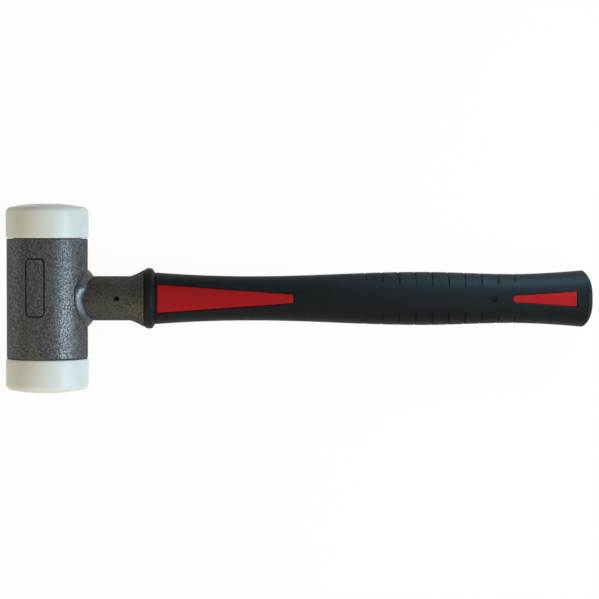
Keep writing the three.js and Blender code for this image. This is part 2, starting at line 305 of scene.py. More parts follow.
@dataclass(frozen=True)
class RestingFrame:
    """How the hammer lies on the rims of its faces and on its butt.

    Attributes:
        origin: Where the head's axis meets the handle's axis, in the row's metres.
        tilt: Turn about y that brings the butt down to the floor, in radians.
    """

    origin: Vector
    tilt: float

    @classmethod
    def from_cad(cls, face_radius: float, butt_x: float, butt_low: float) -> "RestingFrame":
        """Works out the frame from the CAD model.

        Args:
            face_radius: Radius of the nylon faces that the head lies on.
            butt_x: Where along the handle the butt is thickest.
            butt_low: Half the butt's thickness.

        Returns:
            The resting frame.
        """
        low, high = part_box("head_housing")
        tilt = math.asin(face_radius / math.hypot(butt_x, butt_low)) - math.atan2(butt_low, butt_x)
        return cls((low + high) / 2, tilt)

    def to_row(self, points: np.ndarray) -> np.ndarray:
        """Turns points in the hammer's millimetres into the row's metres.

        Args:
            points: Points, one to a line.

        Returns:
            The points in the row.
        """
        x, y, z = points.T / MM
        c, s = math.cos(self.tilt), math.sin(self.tilt)
        return spots(x * c + z * s, y, z * c - x * s) + np.array(self.origin)

    def mesh_object(self, name: str, surface: Surface, crease: float = CREASE) -> bpy.types.Object:
        """Makes an object of a surface, its seams closed and its faces outward.

        Args:
            name: The object's name.
            surface: The points and faces.
            crease: Angle in degrees over which an edge stays sharp.

        Returns:
            The object, linked to the scene.
        """
        mesh = bpy.data.meshes.new(name)
        mesh.from_pydata(self.to_row(np.concatenate(surface.points)).tolist(), [], surface.faces)
        work = bmesh.new()
        work.from_mesh(mesh)
        bmesh.ops.remove_doubles(work, verts=work.verts, dist=SEAM)
        bmesh.ops.recalc_face_normals(work, faces=work.faces)
        work.to_mesh(mesh)
        work.free()
        shade(mesh, crease)
        piece = bpy.data.objects.new(name, mesh)
        bpy.context.scene.collection.objects.link(piece)
        return piece


class NodeSheet:
    """A material's nodes, added one at a time around its main shader."""

    def __init__(self, name: str) -> None:
        """Starts a material with a plain shader.

        Args:
            name: The material's name.
        """
        self.material = bpy.data.materials.new(name)
        self.material.use_nodes = True
        self.tree = self.material.node_tree
        self.shader = next(n for n in self.tree.nodes if n.type == "BSDF_PRINCIPLED")

    def fill(self, node: bpy.types.Node, values: dict[Any, Any]) -> bpy.types.Node:
        """Sets a node's inputs.

        Args:
            node: The node.
            values: By input name or number, a plain value or another node's output to link.

        Returns:
            The same node.
        """
        for key, value in values.items():
            if isinstance(value, Socket):
                self.tree.links.new(value, node.inputs[key])
            else:
                node.inputs[key].default_value = value
        return node

    def add(self, kind: str, values: dict[Any, Any], **settings: Any) -> bpy.types.Node:
        """Adds a node.

        Args:
            kind: Blender's name of the node type, without its ShaderNode prefix.
            values: The node's inputs, as fill() takes them.
            **settings: The node's own settings.

        Returns:
            The node.
        """
        node = self.tree.nodes.new("ShaderNode" + kind)
        for key, value in settings.items():
            setattr(node, key, value)
        return self.fill(node, values)

    def place(self, x: float = 1, y: float = 1, z: float = 1) -> Socket:
        """Gives the surface's own coordinates, stretched by a factor along each axis."""
        coords = self.add("TexCoord", {}).outputs["Object"]
        return self.add("Mapping", {"Vector": coords, "Scale": (x, y, z)}).outputs["Vector"]

    def noise(self, where: Socket, size: float, detail: float = 3, output: str = "Fac") -> Socket:
        """Gives cloudy noise.

        Args:
            where: Coordinates of the noise.
            size: Size of a blotch in millimetres.
            detail: How many finer layers it has.
            output: Fac for one value from 0 to 1, or Color for three.

        Returns:
            The noise.
        """
        values = {"Vector": where, "Scale": MM / size, "Detail": detail}
        return self.add("TexNoise", values).outputs[output]

    def remap(self, value: Socket, old: Pair, new: Pair = (0, 1)) -> Socket:
        """Maps a value from one range into another.

        Args:
            value: The value.
            old: Where the old range starts and stops.
            new: The new values there.

        Returns:
            The mapped value, kept within the new range.
        """
        ends = {"From Min": old[0], "From Max": old[1], "To Min": new[0], "To Max": new[1]}
        return self.add("MapRange", {"Value": value, **ends}).outputs["Result"]

    def mix(self, share: Socket, first: Colour | Socket, second: Colour | Socket) -> Socket:
        """Mixes two colours.

        Args:
            share: How much of the second colour there is.
            first: The first colour or an output that gives it.
            second: The second colour or an output that gives it.

        Returns:
            The mixed colour.
        """
        return self.add("Mix", {0: share, 6: first, 7: second}, data_type="RGBA").outputs[2]

    def bump(self, height: Socket, depth: float, strength: float, under: Socket | None = None) -> Socket:
        """Turns a height into a normal.

        Args:
            height: The height, from 0 to 1.
            depth: Millimetres between heights 0 and 1.
            strength: How strongly it shows.
            under: A normal that it is laid over.

        Returns:
            The normal.
        """
        values = {"Height": height, "Distance": depth / MM, "Strength": strength}
        if under is not None:
            values["Normal"] = under
        return self.add("Bump", values).outputs["Normal"]


@dataclass(frozen=True)
class Finish(ABC):
    """A finish that pieces are dressed in.

    Attributes:
        name: The material's name.
        slot: The slot that it stands for; not used.
    """

    name: str
    slot: Slot

    def material(self) -> bpy.types.Material:
        """Gives the finish's material.

        Returns:
            The material, made the first time that it is asked for.
        """
        made = bpy.data.materials.get(self.name)
        if made is None:
            sheet = NodeSheet(self.name)
            sheet.fill(sheet.shader, self.paint(sheet))
            made = sheet.material
        return made

    @abstractmethod
    def paint(self, sheet: NodeSheet) -> dict[str, Any]:
        """Adds the finish's nodes to a sheet, and returns the main shader's inputs."""


@dataclass(frozen=True)
class HammertonePaint(Finish):
    """Hammered grey paint: metal flake drawn into small cells with darker lines between them.

    Attributes:
        light: Colour in the middle of a cell.
        dark: Colour between cells.
        tint: Colour of broad, faint blotches.
        cell: Size of a cell in millimetres.
        dimple: Depth of the dimples in millimetres.
        gloss: How dull the middle of a cell is.
        dulling: How much duller it is between cells.
        shine: How strongly the lacquer reflects.
        flash: Colour of what the lacquer reflects.
        swirl: Width of the swirls that bend the cells, in cells.
        bend: How far they bend them, in cells.
    """

    light: Colour
    dark: Colour
    tint: Colour
    cell: float = 1.15
    dimple: float = 0.13
    gloss: float = 0.4
    dulling: float = 0.12
    shine: float = 0.6
    flash: Colour = (0.35, 0.38, 0.42, 1.0)
    swirl: float = 1 / 0.7
    bend: float = 1 / 2.2

    def paint(self, sheet: NodeSheet) -> dict[str, Any]:
        """Adds flake cells, blotches, dimples and a semi-gloss to a sheet.

        Args:
            sheet: The sheet.

        Returns:
            The main shader's inputs.
        """
        where = sheet.place()
        swirl = sheet.noise(where, self.cell * self.swirl, detail=2, output="Color")
        push = (self.cell * self.bend / MM,) * 3
        bent = sheet.add("VectorMath", {0: swirl, 1: push, 2: where}, operation="MULTIPLY_ADD")
        drawn = {"Vector": bent.outputs["Vector"], "Scale": MM / self.cell, "Smoothness": 0.7}
        cells = sheet.add("TexVoronoi", drawn, feature="SMOOTH_F1").outputs["Distance"]
        flake = sheet.mix(sheet.remap(cells, (0.12, 0.62)), self.light, self.dark)
        blotch = sheet.remap(sheet.noise(where, size=9), (0.42, 0.7), (0, 0.5))
        return {
            "Base Color": sheet.mix(blotch, flake, self.tint),
            "Metallic": 0.75,
            "Roughness": sheet.remap(cells, (0.1, 0.7), (self.gloss, self.gloss + self.dulling)),
            "Specular IOR Level": self.shine,
            "Specular Tint": self.flash,
            "Normal": sheet.bump(sheet.remap(cells, (0, 0.75), (1, 0)), self.dimple, strength=0.6),
        }


@dataclass(frozen=True)
class NaturalNylon(Finish):
    """Turned natural nylon: milky, satin and faintly cloudy, with fine turning marks.

    Attributes:
        clear: Colour of the clean nylon.
        cloudy: Colour of the cloudier places.
    """

    clear: Colour
    cloudy: Colour

    def paint(self, sheet: NodeSheet) -> dict[str, Any]:
        """Adds clouds, turning marks and a milky depth to a sheet.

        Args:
            sheet: The sheet.

        Returns:
            The main shader's inputs.
        """
        where = sheet.place()
        cloud = sheet.remap(sheet.noise(where, size=14, detail=4), (0.38, 0.66))
        marks = sheet.noise(sheet.place(x=0.06, z=0.06), size=0.5, detail=2)
        scuffs = sheet.noise(where, size=2.2, detail=5)
        scuffed = sheet.bump(scuffs, depth=0.04, strength=0.25)
        return {
            "Base Color": sheet.mix(cloud, self.clear, self.cloudy),
            "Roughness": sheet.remap(scuffs, (0.3, 0.7), (0.34, 0.5)),
            "Subsurface Weight": 0.25,
            "Subsurface Radius": (0.004, 0.0038, 0.0032),
            "Subsurface Scale": 1.0,
            "Specular IOR Level": 0.45,
            "Normal": sheet.bump(marks, depth=0.03, strength=0.4, under=scuffed),
        }


@dataclass(frozen=True)
class SoftOvermould(Finish):
    """Black soft rubber with a fine moulded grain and a trace of dust.

    Attributes:
        black: Colour of the rubber.
        dusty: Colour where dust has settled.
    """

    black: Colour
    dusty: Colour

    def paint(self, sheet: NodeSheet) -> dict[str, Any]:
        """Adds grain, dust and a dull sheen to a sheet.

        Args:
            sheet: The sheet.

        Returns:
            The main shader's inputs.
        """
        where = sheet.place()
        grain = sheet.noise(where, size=0.32, detail=2)
        dust = sheet.remap(sheet.noise(where, size=11, detail=5), (0.45, 0.75), (0, 0.8))
        wear = sheet.noise(where, size=4, detail=4)
        return {
            "Base Color": sheet.mix(dust, self.black, self.dusty),
            "Roughness": sheet.remap(wear, (0.3, 0.7), (0.52, 0.64)),
            "Specular IOR Level": 0.2,
            "Normal": sheet.bump(grain, depth=0.05, strength=0.35),
        }


@dataclass(frozen=True)
class HardPlastic(Finish):
    """Hard moulded plastic, satin, with faint flow marks along the handle.

    Attributes:
        colour: Colour of the plastic.
        flow: Colour of the flow marks.
    """

    colour: Colour
    flow: Colour

    def paint(self, sheet: NodeSheet) -> dict[str, Any]:
        """Adds flow marks, a fine texture and satin gloss to a sheet.

        Args:
            sheet: The sheet.

        Returns:
            The main shader's inputs.
        """
        streak = sheet.noise(sheet.place(x=0.15), size=5, detail=4)
        texture = sheet.noise(sheet.place(), size=0.4, detail=2)
        return {
            "Base Color": sheet.mix(sheet.remap(streak, (0.35, 0.7)), self.colour, self.flow),
            "Roughness": sheet.remap(texture, (0.3, 0.7), (0.36, 0.48)),
            "Specular IOR Level": 0.2,
            "Normal": sheet.bump(texture, depth=0.03, strength=0.3),
        }


@dataclass(frozen=True)
class WorkedSteel(Finish):
    """Bare or phosphated steel with fine tool marks and a little tarnish.

    Attributes:
        bright: Colour of the clean steel.
        tarnish: Colour of the duller places.
        roughness: How dull it is where it is clean.
        dulling: How much duller the tarnish is.
    """

    bright: Colour
    tarnish: Colour
    roughness: float
    dulling: float = 0.2

    def paint(self, sheet: NodeSheet) -> dict[str, Any]:
        """Adds tool marks and tarnish to a sheet.

        Args:
            sheet: The sheet.

        Returns:
            The main shader's inputs.
        """
        stain = sheet.remap(sheet.noise(sheet.place(), size=3, detail=5), (0.45, 0.7))
        marks = sheet.noise(sheet.place(y=0.2), size=0.35)
        return {
            "Base Color": sheet.mix(stain, self.bright, self.tarnish),
            "Metallic": 1.0,
            "Roughness": sheet.remap(stain, (0, 1), (self.roughness, self.roughness + self.dulling)),
            "Normal": sheet.bump(marks, depth=0.02, strength=0.4),
        }


@dataclass(frozen=True)
class DrawnFibreglass(Finish):
    """Amber fibreglass rod with its strands along the handle.

    Attributes:
        resin: Colour of the resin.
        strand: Colour of the strands.
    """

    resin: Colour
    strand: Colour

    def paint(self, sheet: NodeSheet) -> dict[str, Any]:
        """Adds long strands to a sheet.

        Args:
            sheet: The sheet.

        Returns:
            The main shader's inputs.
        """
        strands = sheet.noise(sheet.place(x=0.02), size=0.6)
        return {
            "Base Color": sheet.mix(sheet.remap(strands, (0.35, 0.65)), self.resin, self.strand),
            "Roughness": sheet.remap(strands, (0.3, 0.7), (0.35, 0.6)),
            "Normal": sheet.bump(strands, depth=0.05, strength=0.4),
        }


HEAD_PAINT = HammertonePaint(
    "head_paint", Slot.PAINT, srgb(124, 123, 123), srgb(80, 78, 76), srgb(100, 99, 98))
NECK_PAINT = HammertonePaint(
    "neck_paint", Slot.PAINT, srgb(103, 99, 93), srgb(70, 67, 62), srgb(86, 82, 77),
    cell=1.0, dimple=0.07, gloss=0.5, shine=0.4, flash=(0.4, 0.42, 0.45, 1.0))
BEAD_PAINT = HammertonePaint(
    "bead_paint", Slot.PAINT, srgb(96, 98, 98), srgb(76, 77, 77), srgb(86, 87, 87),
    cell=2.0, dimple=0.06, gloss=0.35, shine=0.9, flash=(0.7, 0.88, 1.0, 1.0))
PIN_PAINT = HammertonePaint(
    "pin_paint", Slot.SPRING_STEEL, srgb(62, 60, 56), srgb(46, 44, 41), srgb(54, 52, 48),
    cell=1.0, dimple=0.03, gloss=0.6, shine=0.3)
# Dark paint for the stamped frame's groove: partly the frame's printed line, partly painted shade for the
# groove's shadow
LINE_PRINT_AND_SHADE = HammertonePaint(
    "line_print_and_painted_shade", Slot.PAINT, srgb(42, 40, 38), srgb(30, 29, 28), srgb(36, 35, 33),
    cell=0.8, dimple=0.03, gloss=0.55, shine=0.4)
NYLON = NaturalNylon("natural_nylon", Slot.NYLON, srgb(232, 231, 226), srgb(227, 225, 215))
RUBBER = SoftOvermould("soft_overmould", Slot.RUBBER, srgb(11, 12, 14), srgb(16, 17, 20))
RED = HardPlastic("red_plastic_satin", Slot.RED, srgb(168, 11, 15), srgb(158, 11, 15))
BRIGHT_STEEL = WorkedSteel("oiled_steel", Slot.BARE_STEEL, srgb(186, 187, 188), srgb(140, 138, 132), 0.28)
DARK_STEEL = WorkedSteel("phosphated_steel", Slot.SPRING_STEEL, srgb(56, 55, 53), srgb(36, 35, 32), 0.6)
AMBER_ROD = DrawnFibreglass("fibreglass_rod", Slot.FIBREGLASS, srgb(206, 190, 142), srgb(226, 214, 178))


@dataclass
class SubAssembly(ABC):
    """Pieces that are built and dressed together.

    Attributes:
        rest: How the hammer lies.
        pieces: The pieces made so far.
    """

    rest: RestingFrame
    pieces: list[bpy.types.Object] = field(default_factory=list)

    def show(self, name: str, surface: Surface, finish: Finish, nodes: tuple[str, ...] = (),
             body: Body = Body.HAMMER, crease: float = CREASE) -> bpy.types.Object:
        """Makes a piece that rides on a body, in a finish.

        Args:
            name: The piece's name.
            surface: Its points and faces.
            finish: What it is dressed in.
            nodes: CAD nodes that it stands for.
            body: The body that it moves with.
            crease: Angle in degrees over which an edge stays sharp.

        Returns:
            The piece.
        """
        piece = self.rest.mesh_object(name, surface, crease)
        piece.data.materials.append(finish.material())
        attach(piece, body.value)
        if nodes:
            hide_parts(*nodes)
        self.pieces.append(piece)
        return piece

    def carve(self, piece: bpy.types.Object, shape: Surface, crease: float) -> None:
        """Cuts a shape out of a piece.

        Args:
            piece: The piece that is cut.
            shape: What is taken away.
            crease: Angle in degrees over which an edge stays sharp.
        """
        cutter = self.rest.mesh_object("cutter", shape)
        cut = piece.modifiers.new("carve", "BOOLEAN")
        cut.operation, cut.solver, cut.object = "DIFFERENCE", "EXACT", cutter
        graph = bpy.context.evaluated_depsgraph_get()
        mesh = bpy.data.meshes.new_from_object(piece.evaluated_get(graph))
        piece.modifiers.clear()
        piece.data = mesh
        shade(mesh, crease)
        bpy.data.objects.remove(cutter)

    def dress(self, node: str, finish: Finish) -> None:
        """Puts a finish on a CAD node that stays in view.

        Args:
            node: The node's name.
            finish: What it is dressed in.
        """
        piece = frame["nodes"][node]
        for place in piece.material_slots:
            place.material = finish.material()
        self.pieces.append(piece)

    @abstractmethod
    def build(self) -> list[bpy.types.Object]:
        """Makes all the pieces and returns them."""


@dataclass
class Head(SubAssembly):
    """The painted steel housing, and what closes the shot chamber inside it."""

    # The tube: outside, rounded rims, and the seats and circlip grooves inside its ends
    radius: float = 24.5
    half: float = 36.25
    edge: float = 0.8
    lead: float = 0.4
    chamber_radius: float = 19.0
    seat_radius: float = 21.0
    seat_depth: float = 15.65
    groove_radius: float = 22.2
    groove_depths: Pair = (9.0, 11.35)
    sides: int = 160
    crease: float = 34.0
    # The plain stamped frame: sections are shares of half the line's width and heights over the housing
    frame_centre: Pair = (-5.3, 6.7)
    frame_size: Pair = (11.4, 34.6)
    frame_corner: float = 2.6
    corner_steps: int = 7
    frame_line: float = 1.0
    frame_groove: tuple[Pair, ...] = ((1, 0.3), (0.8, -0.35), (-0.8, -0.35), (-1, 0.3))
    # The dark strip laid inside the groove: partly the frame's printed line, partly painted shade for the
    # groove's shadow
    frame_fill: tuple[Pair, ...] = ((0.76, -0.1), (0.76, -0.33), (-0.76, -0.33), (-0.76, -0.1))

    def housing(self) -> Surface:
        """Turns the housing: a tube with rounded ends, wide seats and circlip grooves.

        Returns:
            The tube, closed.
        """
        rim = arc((self.radius - self.edge, self.half - self.edge), self.edge, 0, 90, steps=7)
        lead = arc((self.seat_radius + self.lead, self.half - self.lead), self.lead, 90, 180, steps=4)
        seat, groove, (start, stop) = self.seat_radius, self.groove_radius, self.groove_depths
        bore = [(seat, start), (groove, start), (groove, stop), (seat, stop),
                (seat, self.seat_depth), (self.chamber_radius, self.seat_depth)]
        end = rim + lead + [(radius, self.half - depth) for radius, depth in bore]
        return Surface().rings(turned(mirrored(end), self.sides), along=True)

    def frame_path(self) -> np.ndarray:
        """Gives the middle line of the plain rounded frame.

        Returns:
            By point: its place round the housing, its y, and the two parts of the outward direction.
        """
        wide, tall = (size / 2 - self.frame_corner for size in self.frame_size)
        path = []
        for turn, (x, y) in enumerate([(wide, tall), (-wide, tall), (-wide, -tall), (wide, -tall)]):
            for angle in np.radians(np.linspace(0, 90, self.corner_steps) + 90 * turn):
                out = np.array([math.cos(angle), math.sin(angle)])
                path.append([*(np.array([x, y]) + self.frame_corner * out), *out])
        return np.array(path)

    def frame_loop(self, section: tuple[Pair, ...]) -> Surface:
        """Wraps the frame round the housing.

        Args:
            section: Its cross-section.

        Returns:
            The closed loop.
        """
        path = self.frame_path()
        middle = math.asin(self.frame_centre[0] / self.radius)
        loops = []
        for share, lift in section:
            flat = path[:, :2] + path[:, 2:] * share * self.frame_line / 2
            angle = middle + flat[:, 0] / self.radius
            radius = self.radius + lift
            y = flat[:, 1] + self.frame_centre[1]
            loops.append(spots(radius * np.sin(angle), y, radius * np.cos(angle)))
        return Surface().rings(np.stack(loops, axis=1), along=True)

    def build(self) -> list[bpy.types.Object]:
        """Makes the housing, stamps its frame, lays a dark line in the frame's groove, partly the frame's
        print and partly painted shade, and dresses the discs and circlips.

        Returns:
            The pieces.
        """
        housing = self.show("painted_housing", self.housing(), HEAD_PAINT, ("head_housing",))
        self.carve(housing, self.frame_loop(self.frame_groove), self.crease)
        # A dark strip in the groove: partly the frame's print, partly painted shade
        self.show("frame_line", self.frame_loop(self.frame_fill), LINE_PRINT_AND_SHADE)
        for side in Side:
            self.dress(f"chamber_disc_{side.label}", BRIGHT_STEEL)
            self.dress(f"disc_circlip_{side.label}", DARK_STEEL)
        return self.pieces


@dataclass
class NylonFaces(SubAssembly):
    """The two crowned faces that are pressed into the ends of the housing."""

    seat_y: float = 36.25
    radius: float = 24.97
    height: float = 21.0
    gap: float = 0.3
    edge: float = 3.6
    edge_slope: float = 0.19
    heel: float = 0.9
    crown: float = 115.0
    crown_steps: int = 14
    land: float = 8.0
    stem_radius: float = 20.7
    stem: float = 9.0
    stem_chamfer: float = 0.8
    sides: int = 160

    def crown_at(self, radius: float) -> float:
        """Gives the crown's height at a radius."""
        return self.height - max(0.0, radius**2 - self.land**2) / (2 * self.crown)

    def profile(self) -> Profile:
        """Draws a face from the stem's middle out, over the edge and in to the crown's middle.

        Returns:
            Pairs of radius and height over the housing's end.
        """
        slope = self.edge_slope
        edge_from = self.radius - self.edge + self.edge * math.sin(slope)
        edge_y = self.crown_at(edge_from) - self.edge * math.cos(slope)
        stem = [(0, -self.stem), (self.stem_radius - self.stem_chamfer, -self.stem),
                (self.stem_radius, self.stem_chamfer - self.stem), (self.stem_radius, self.gap)]
        heel = arc((self.radius - self.heel, self.gap + self.heel), self.heel, -90, 0, steps=6)
        edge = arc((self.radius - self.edge, edge_y), self.edge, 0, 90 - math.degrees(slope), steps=12)
        inward = np.linspace(edge_from, 0, self.crown_steps)[1:]
        crown = [(radius, self.crown_at(radius)) for radius in inward]
        return stem + heel + edge + crown

    def build(self) -> list[bpy.types.Object]:
        """Makes both faces, each riding on its own body.

        Returns:
            The faces.
        """
        for side in Side:
            profile = [(radius, side.value * (self.seat_y + y)) for radius, y in self.profile()]
            surface = Surface().rings(turned(profile, self.sides))
            node, body = f"nylon_face_{side.label}", Body[f"{side.name}_FACE"]
            self.show(f"{node}_turned", surface, NYLON, (node,), body)
        return self.pieces


@dataclass
class Shot(SubAssembly):
    """The loose steel balls in the head."""

    count: int = 21

    def build(self) -> list[bpy.types.Object]:
        """Dresses the balls of the CAD model.

        Returns:
            The balls.
        """
        for number in range(1, self.count + 1):
            self.dress(f"shot_ball_{number:02d}", BRIGHT_STEEL)
        return self.pieces


@dataclass
class Neck(SubAssembly):
    """The painted socket between the head and the handle, its weld bead and its pin."""

    # The socket: a tube that fits the housing and flares out to an oval mouth
    head_radius: float = 24.5
    radius: float = 13.5
    wall: float = 3.2
    gap: float = 0.3
    flare_x: float = 50.2
    flare_power: float = 1.25
    mouth_x: float = 59.1
    mouth: Pair = (17.6, 15.25)
    lip: float = 0.5
    sides: int = 128
    tube_rings: int = 12
    flare_rings: int = 22
    crease: float = 34.0
    # The weld bead: each pair is its size on the neck's front and back, then on its upper and lower side
    housing_leg: Pair = (3.9, 3.85)
    neck_leg: Pair = (2.7, 3.3)
    bead_round: Pair = (1.9, 1.2)
    bead_foot: float = 0.4
    bead_lift: float = 0.45
    bead_toe: float = 0.4
    bead_undercuts: tuple[float, ...] = (0.12, 0.06, 0.08, 0.14)
    bead_sides: int = 400
    bead_steps: int = 15
    bead_crease: float = 60.0
    # Its lumps: waves as a count and a size, blobs as an angle, a width and a size
    lump_lean: float = 0.06
    lump_waves: tuple[Pair, ...] = ((3, 0.05), (7, 0.04), (15, 0.03))
    lump_blobs: tuple[tuple[float, float, float], ...] = ((1.16, 0.17, 1.0), (5.2, 0.16, 0.4))
    blob_share: float = 0.42
    lump_height: float = 0.45
    # The rolled pin and its hole, whose rim is widened by amounts at heights over the neck
    pin_x: float = 42.7
    pin_radius: float = 1.5
    pin_wall: float = 0.7
    pin_slot: float = 0.3
    pin_half: float = 13.35
    pin_chamfer: Pair = (0.4, 0.3)
    pin_sides: int = 40
    # A disc across the pin's bore, in the pin's dark paint: painted shade that keeps the bore from showing
    # the floor
    pin_plug: float = 0.4
    shade_plug_sides: int = 24
    hole_radius: float = 1.6
    hole_sides: int = 48
    hole_rim: tuple[Pair, ...] = ((2.0, 0.3), (0.1, 0.15), (-0.4, 0.0))

    def saddle(self, radius: np.ndarray | float, angle: np.ndarray, clear: float) -> np.ndarray:
        """Gives where the housing's surface lies along x, seen from the neck.

        Args:
            radius: Distance from the handle's axis.
            angle: Angle round the handle's axis, from +y towards +z.
            clear: Clearance from the housing.

        Returns:
            The places along x.
        """
        return np.sqrt((self.head_radius + clear) ** 2 - (radius * np.sin(angle)) ** 2)

    def socket_skin(self, inset: float, bulge: int) -> list[np.ndarray]:
        """Lofts one skin of the socket, from the housing to the flared mouth.

        Args:
            inset: How far it lies inside the socket's outside.
            bulge: 1 where the lip rounds inwards, -1 where it rounds outwards.

        Returns:
            The rings in order.
        """
        angle = around(self.sides)
        start = self.saddle(self.radius - inset, angle, self.gap)
        tube = [start + (self.flare_x - start) * t for t in np.linspace(0, 1, self.tube_rings)[:-1]]
        places = np.linspace(self.flare_x, self.mouth_x, self.flare_rings)
        flare = [np.full_like(angle, x) for x in places]
        rings = []
        for x in tube + flare:
            t = np.clip((x - self.flare_x) / (self.mouth_x - self.flare_x), 0, 1) ** self.flare_power
            back = np.clip((x - self.mouth_x + self.lip) / self.lip, 0, 1)
            rounding = self.lip * (1 - np.sqrt(1 - back**2)) * bulge
            y, z = (self.radius + (size - self.radius) * t - inset - rounding for size in self.mouth)
            rings.append(spots(x, y * np.cos(angle), z * np.sin(angle)))
        return rings

    def socket(self) -> Surface:
        """Joins the socket's outside and its bore into one closed tube."""
        rings = self.socket_skin(0.0, 1) + self.socket_skin(self.wall, -1)[::-1]
        return Surface().rings(rings, along=True)

    def pin_cutter(self) -> Surface:
        """Turns the hole for the pin, opened a little at both ends by the paint's edge.

        Returns:
            What is cut from the socket.
        """
        rim = [(self.hole_radius + grow, -self.radius - over) for over, grow in self.hole_rim]
        profile = mirrored([(0.0, rim[0][1]), *rim])
        return Surface().rings(drilled(profile, self.hole_sides, self.pin_x, 0))

    def lumps(self, angle: np.ndarray) -> np.ndarray:
        """Gives how much the bead swells round the neck.

        Args:
            angle: Angles round the handle's axis, from +y towards +z.

        Returns:
            The swelling as a share of the bead's size.
        """
        swell = self.lump_lean * np.cos(angle)
        for count, size in self.lump_waves:
            swell = swell + size * np.sin(count * angle)
        blobs = sum(size * np.exp(-(((angle - at) / width) ** 2)) for at, width, size in self.lump_blobs)
        return swell + self.blob_share * blobs

    def bead(self) -> Surface:
        """Lays the weld bead: a lumpy rope in the corner of the housing and the neck, undercut where steep.

        Returns:
            The bead, closed.
        """
        angle = around(self.bead_sides)
        broad, steep = np.cos(angle) ** 2, np.sin(angle) ** 2
        sizes = (self.housing_leg, self.neck_leg, self.bead_round)
        up, along, fat = (low + (high - low) * broad for low, high in sizes)
        swell = self.lumps(angle)
        up, along, lift = up * (1 + self.lump_height * swell), along * (1 + swell), self.bead_lift * steep
        foot, toe = np.full_like(angle, -self.bead_foot), self.bead_toe * lift
        cuts = [1 - share * steep for share in self.bead_undercuts]
        rows = [(foot, up * cuts[0]), (toe, up * cuts[1])]
        for turn in np.linspace(0, np.pi / 2, self.bead_steps):
            a = lift + (along - lift) * math.sin(turn) ** (2 / fat)
            b = lift + (up - lift) * max(0.0, math.cos(turn)) ** (2 / fat)
            rows.append((a, b))
        rows += [(along * cuts[2], toe), (along * cuts[3], foot), (foot, foot)]
        rings = []
        for a, b in rows:
            radius = self.radius + b
            x = self.saddle(radius, angle, 0) + a
            rings.append(spots(x, radius * np.cos(angle), radius * np.sin(angle)))
        return Surface().rings(rings, along=True)

    def pin(self) -> Surface:
        """Rolls the pin: a slotted tube along z with chamfered ends, closed halfway by a dark disc of
        painted shade.

        Returns:
            The pin and the disc of painted shade in it.
        """
        half, inner, (long, deep) = self.pin_half, self.pin_radius - self.pin_wall, self.pin_chamfer
        rings = []
        for z, trim in ((-half, deep), (long - half, 0), (half - long, 0), (half, deep)):
            loop = []
            for radius, order in ((self.pin_radius - trim, 1), (inner, -1)):
                open_by = math.asin(self.pin_slot / radius)
                angle = np.linspace(open_by, 2 * np.pi - open_by, self.pin_sides)[::order]
                loop.append(spots(self.pin_x + radius * np.cos(angle), radius * np.sin(angle), z))
            rings.append(np.concatenate(loop))
        surface = Surface().rings(rings)
        # Close the bore at mid-length with a dark disc: painted shade, so the floor does not show through
        # it
        turn = around(self.shade_plug_sides)
        x, y = self.pin_x + inner * np.cos(turn), inner * np.sin(turn)
        surface.barrel([spots(x, y, z) for z in (-self.pin_plug, self.pin_plug)])
        for ring in (rings[0], rings[-1]):
            outer_line, inner_line = np.split(surface.take(ring), 2)
            surface.weave(np.stack([outer_line, inner_line[::-1]]))
        return surface

    def build(self) -> list[bpy.types.Object]:
        """Makes the socket with its pin hole, the weld bead and the pin.

        Returns:
            The pieces.
        """
        socket = self.show("painted_socket", self.socket(), NECK_PAINT, ("neck_socket",))
        self.carve(socket, self.pin_cutter(), self.crease)
        self.show("weld_bead_lumpy", self.bead(), BEAD_PAINT, ("neck_weld_bead",), crease=self.bead_crease)
        self.show("rolled_pin", self.pin(), PIN_PAINT, ("socket_pin",))
        return self.pieces


